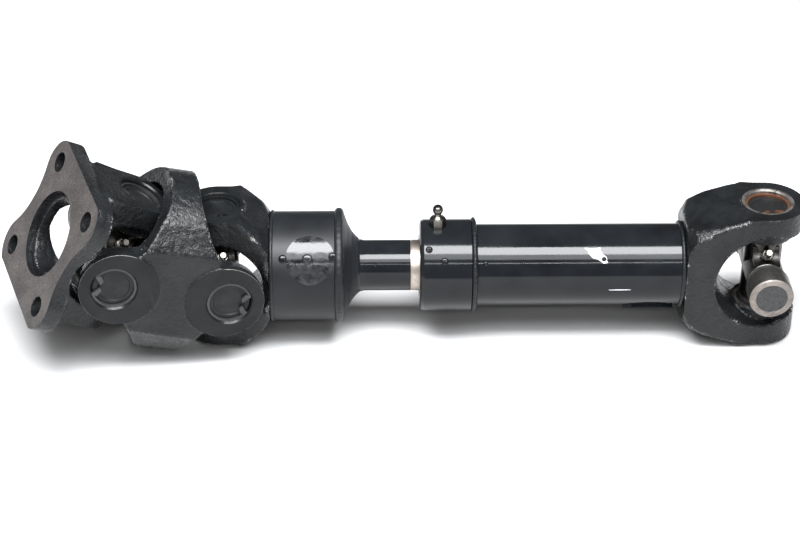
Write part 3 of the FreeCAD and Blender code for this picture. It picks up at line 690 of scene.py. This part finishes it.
# ---- shaft details, in millimetres from the rear cross and degrees above the near side ----
SHORT_TUBE_R = 33.8
MAIN_TUBE_R = 25.4
SLEEVE_R = 28.6
NECK_R = 15.8


def skin_point(radius, station, angle):
    side = math.radians(angle)
    return Vector((station, -radius * math.cos(side), radius * math.sin(side)))


def weld_bead(node_name, body, crest, base, low, high, ripples):
    """Bead with the overlapping ripples of a hand-fed torch, from base radius up to crest radius."""
    rows = 9
    steps = 4 * ripples
    middle = (low + high) / 2
    half = (high - low) / 2
    verts = []
    for i in range(steps):
        angle = 360 * i / steps
        wander = noise.noise(Vector((angle * 0.09, low, 0)))
        slow = noise.noise(Vector((angle * 0.03, low + 9, 0)))
        for row in range(rows):
            across = -1 + 2 * row / (rows - 1)
            ripple = abs(math.sin(math.radians(angle * ripples / 2) + 1.1 * across * across + 2.5 * wander))
            lift = math.sqrt(1 - across * across) * (0.80 + 0.09 * ripple + 0.11 * slow)
            station = middle + half * (across + 0.1 * wander)
            verts.append(skin_point(base + (crest - base) * lift, station, angle) * MM)
        verts.append(skin_point(base - 1.0, middle, angle) * MM)
    width = rows + 1
    faces = [(i * width + j, i * width + (j + 1) % width,
              (i + 1) % steps * width + (j + 1) % width, (i + 1) % steps * width + j)
             for i in range(steps) for j in range(width)]
    piece = mesh_object(node_name + "_ripples", verts, faces, SHAFT_FRAME)
    piece.data.materials.append(look_of(node_name))
    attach(piece, body)
    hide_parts(node_name)


def blob(name, body, radius, station, angle, size, height, material):
    """Dried drop of paint standing on a tube."""
    outline = [(POLE, height), (0.55 * size, 0.86 * height), (0.86 * size, 0.5 * height), (size, 0),
               (size, -0.3), (POLE, -0.3)]
    origin = skin_point(radius, station, angle) * MM
    way = skin_point(1, 0, angle)
    piece = turned(name, [(r * MM, z * MM) for r, z in outline], along(SHAFT_FRAME, way, origin), steps=32)
    piece.data.materials.append(material)
    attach(piece, body)


def patch(name, body, radius, station, angle, outline, lift, material, rings=8):
    """Thin film on a tube: outline holds (along, around) offsets in millimetres."""
    verts = [skin_point(radius + lift, station, angle) * MM]
    for k in range(1, rings + 2):
        scale = min(k, rings) / rings
        height = lift if k <= rings else -0.2
        for along_tube, around in outline:
            verts.append(skin_point(radius + height, station + along_tube * scale,
                                    angle + math.degrees(around * scale / radius)) * MM)
    count = len(outline)
    faces = [(0, 1 + i, 1 + (i + 1) % count) for i in range(count)]
    for k in range(rings):
        first, second = 1 + k * count, 1 + (k + 1) * count
        faces += [(first + i, second + i, second + (i + 1) % count, first + (i + 1) % count)
                  for i in range(count)]
    piece = mesh_object(name, verts, faces, SHAFT_FRAME)
    piece.data.materials.append(material)
    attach(piece, body)
    sharpen(piece, PATCH_CREASE)


weld_bead("front_weld", "slip_shaft", crest=34.9, base=33.0, low=31.4, high=34.1, ripples=46)
weld_bead("stub_weld", "slip_shaft", crest=36.1, base=33.0, low=71.0, high=77.0, ripples=52)
weld_bead("sleeve_weld", "sleeve_shaft", crest=30.0, base=25.0, low=155.2, high=159.3, ripples=60)
weld_bead("end_weld", "sleeve_shaft", crest=27.3, base=25.0, low=284.0, high=287.0, ripples=60)

# A round label without print, with a shallow tab at its lower edge.
LABEL_R = 15.4
LABEL_TAB = 1.6
LABEL_STATION = 56.6
LABEL_ANGLE = 39.0
LABEL_INNER = 0.97
label = []
for degrees in range(0, 360, 5):
    turn = math.radians(degrees)
    tab = max(0, math.cos(math.radians(degrees + 90))) ** 8
    label.append((LABEL_R * math.cos(turn), LABEL_R * math.sin(turn) - LABEL_TAB * tab))
patch("blank_label_edge", "slip_shaft", SHORT_TUBE_R, LABEL_STATION, LABEL_ANGLE, label, 0.10, SATIN)
patch("blank_label", "slip_shaft", SHORT_TUBE_R, LABEL_STATION, LABEL_ANGLE,
      [(LABEL_INNER * x, LABEL_INNER * y) for x, y in label], 0.16, FILM)

# Paint drops: body, radius they stand on, station, angle and size.
DROPS = (("slip_shaft", SHORT_TUBE_R, 40.0, 39, 2.6), ("slip_shaft", SHORT_TUBE_R, 70.4, 41, 2.8),
         ("slip_shaft", NECK_R, 96.2, 31, 1.2), ("sleeve_shaft", SLEEVE_R, 129.2, 51, 2.2),
         ("sleeve_shaft", SLEEVE_R, 138.7, 36, 2.4), ("sleeve_shaft", MAIN_TUBE_R, 163.9, 33, 1.6),
         ("sleeve_shaft", MAIN_TUBE_R, 236.2, 39, 1.5))
DROP_HEIGHT = 0.8
blob("paint_drop_0", "slip_shaft", SHORT_TUBE_R + 0.1, 54.9, 38.5, 3.4, 0.9, FILM)
for index, (body, radius, station, angle, size) in enumerate(DROPS, 1):
    blob("paint_drop_%d" % index, body, radius, station, angle, size, DROP_HEIGHT, GLOSS)

# Painted reflections on the main tube: a pale patch and a pale streak standing in for bright reflections on
# the gloss paint, as (along, around) outlines about their station and angle.
REFLECTION_OUTLINE = [(-7.6, 5.0), (-2.5, 4.2), (2.0, 5.2), (3.4, 1.0), (5.8, -1.0), (6.6, -4.6), (4.0, -5.0),
                 (0.5, -2.5), (-2.6, -1.6), (-5.0, 1.0)]
STREAK_OUTLINE = [(-6.5, 0.25), (0, 0.5), (7.0, 0.35), (7.2, -0.1), (0, -0.3), (-6, -0.2)]
patch("painted_reflection", "sleeve_shaft", MAIN_TUBE_R, 232.0, 44.0, REFLECTION_OUTLINE, 0.05, PAINTED_REFLECTION)
patch("painted_reflection_streak", "sleeve_shaft", MAIN_TUBE_R, 246.0, -7.0, STREAK_OUTLINE, 0.04, PAINTED_REFLECTION, rings=3)

# The slip stub is satin on its cone, gloss on its neck, bare on its land and hard past it.
CONE_END = 86
LAND_START = 117.9
LAND_END = 133
INSIDE_LAND_R = 15.5
stub = frame["nodes"]["slip_stub"]
zone(stub, SHAFT_FRAME, BARE_LAND, lambda place: place.x > LAND_START and place.yz.length > INSIDE_LAND_R)
zone(stub, SHAFT_FRAME, HARD, lambda place: place.x > LAND_END)
zone(stub, SHAFT_FRAME, SATIN, lambda place: place.x < CONE_END)


# ---- free bearing cups, in millimetres from the end cross's centre ----
CUP_DISC_R = 9.4
CUP_DISC_TOP = 40.6
CUP_STEP_R = 9.5
CUP_RIM_R = 12.7
CUP_RIM_TOP = 40.88
CUP_END_FACE = 40.0
CUP_MOUTH = 25.45
CUP_HOLLOW_R = 10.8
CUP_HOLLOW_TOP = 37.9


def free_cup(side, direction):
    """Bare cup: machined rim round a shallow recess in its closed end."""
    matrix = along(END_FRAME, direction)
    radius = CUP / MM
    outline = [(POLE, CUP_DISC_TOP), (CUP_DISC_R, CUP_DISC_TOP), (CUP_DISC_R + 0.2, CUP_RIM_TOP),
               (CUP_RIM_R, CUP_RIM_TOP), (radius - 0.1, CUP_RIM_TOP - 0.58),
               (radius - 0.02, CUP_RIM_TOP - 0.98), (radius - 0.02, CUP_MOUTH + 0.65),
               (radius - 0.5, CUP_MOUTH), (CUP_HOLLOW_R + 0.6, CUP_MOUTH),
               (CUP_HOLLOW_R, CUP_MOUTH + 0.55), (CUP_HOLLOW_R, CUP_HOLLOW_TOP), (POLE, CUP_HOLLOW_TOP)]
    piece = turned("free_cup_shell_" + side, [(r * MM, z * MM) for r, z in outline], matrix)
    piece.data.materials.append(CUP_STEEL)
    zone(piece, matrix, CUP_RIM, lambda place: place.z > CUP_END_FACE and place.xy.length > CUP_STEP_R)
    zone(piece, matrix, CUP_DISC, lambda place: place.z > CUP_END_FACE and place.xy.length < CUP_STEP_R)
    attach(piece, "free_cup_" + side)
    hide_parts("free_cup_" + side)
    sharpen(piece, CUP_CREASE)


free_cup("near", (0, -1, 0))
free_cup("far", (0, 1, 0))


# ---- camera, floor and light ----
tube_low, tube_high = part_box("main_tube")
AXIS_Y = (tube_low[1] + tube_high[1]) / 2
AXIS_Z = (tube_low[2] + tube_high[2]) / 2
ELEVATION = math.radians(32.56)
AZIMUTH = math.radians(-1.12)
ROLL = math.radians(0.31)
DISTANCE = 1.3135
LENS = 94.9
TARGET_BACK = 0.22542
TARGET_DROP = 0.00124
TARGET = Vector((END.x - TARGET_BACK, AXIS_Y, AXIS_Z - TARGET_DROP))

view_back = Vector((math.sin(AZIMUTH) * math.cos(ELEVATION), -math.cos(AZIMUTH) * math.cos(ELEVATION),
                    math.sin(ELEVATION)))
camera = bpy.data.objects.new("camera", bpy.data.cameras.new("camera"))
bpy.context.collection.objects.link(camera)
camera.data.lens = LENS
camera.data.sensor_width = 36.0
camera.data.clip_start = 0.01
camera.matrix_world = (Matrix.Translation(TARGET + view_back * DISTANCE)
                       @ view_back.to_track_quat("Z", "Y").to_matrix().to_4x4()
                       @ Matrix.Rotation(ROLL, 4, "Z"))
bpy.context.scene.camera = camera

FLOOR_GAP = 0.0005
FLOOR_Z = CAD_BOX[0][2] - FLOOR_GAP
FLOOR_CORNERS = ((-6, -6), (7, -6), (7, 8), (-6, 8))
FLOOR_GREY = 0.56
floor = mesh_object("floor", [(x, y, FLOOR_Z) for x, y in FLOOR_CORNERS], [(0, 1, 2, 3)], smooth=False)
floor_material, _, floor_shader = new_material("pale_floor")
floor_shader.inputs["Base Color"].default_value = (*grey(FLOOR_GREY), 1)
floor_shader.inputs["Roughness"].default_value = 0.9
floor_shader.inputs["Specular IOR Level"].default_value = 0.1
floor.data.materials.append(floor_material)


def soft_box(name, rise, distance, width, height, power, colour=(1, 1, 1)):
    """Area light aimed at the middle of the shaft; rise is in degrees above the main view."""
    tilt = ELEVATION + math.radians(rise)
    way = Vector((0, -math.cos(tilt), math.sin(tilt)))
    light = bpy.data.objects.new(name, bpy.data.lights.new(name, "AREA"))
    bpy.context.collection.objects.link(light)
    light.data.shape = "RECTANGLE"
    light.data.size = width
    light.data.size_y = height
    light.data.energy = power
    light.data.color = colour
    light.matrix_world = (Matrix.Translation(TARGET + way * distance)
                          @ way.to_track_quat("Z", "Y").to_matrix().to_4x4())
    light.visible_camera = False


WORLD_STRENGTH = 0.10
soft_box("key", rise=37, distance=1.25, width=1.2, height=0.47, power=59, colour=(0.97, 0.98, 1.0))
soft_box("key_skirt", rise=19.4, distance=1.25, width=1.2, height=0.31, power=10, colour=(0.95, 0.97, 1.0))
soft_box("strip", rise=2.6, distance=1.9, width=2.2, height=0.03, power=7.0)
world = bpy.data.worlds.new("studio")
bpy.context.scene.world = world
world.use_nodes = True
background = world.node_tree.nodes["Background"]
background.inputs["Color"].default_value = (1, 1, 1, 1)
background.inputs["Strength"].default_value = WORLD_STRENGTH
bpy.context.scene.view_settings.view_transform = "Standard"
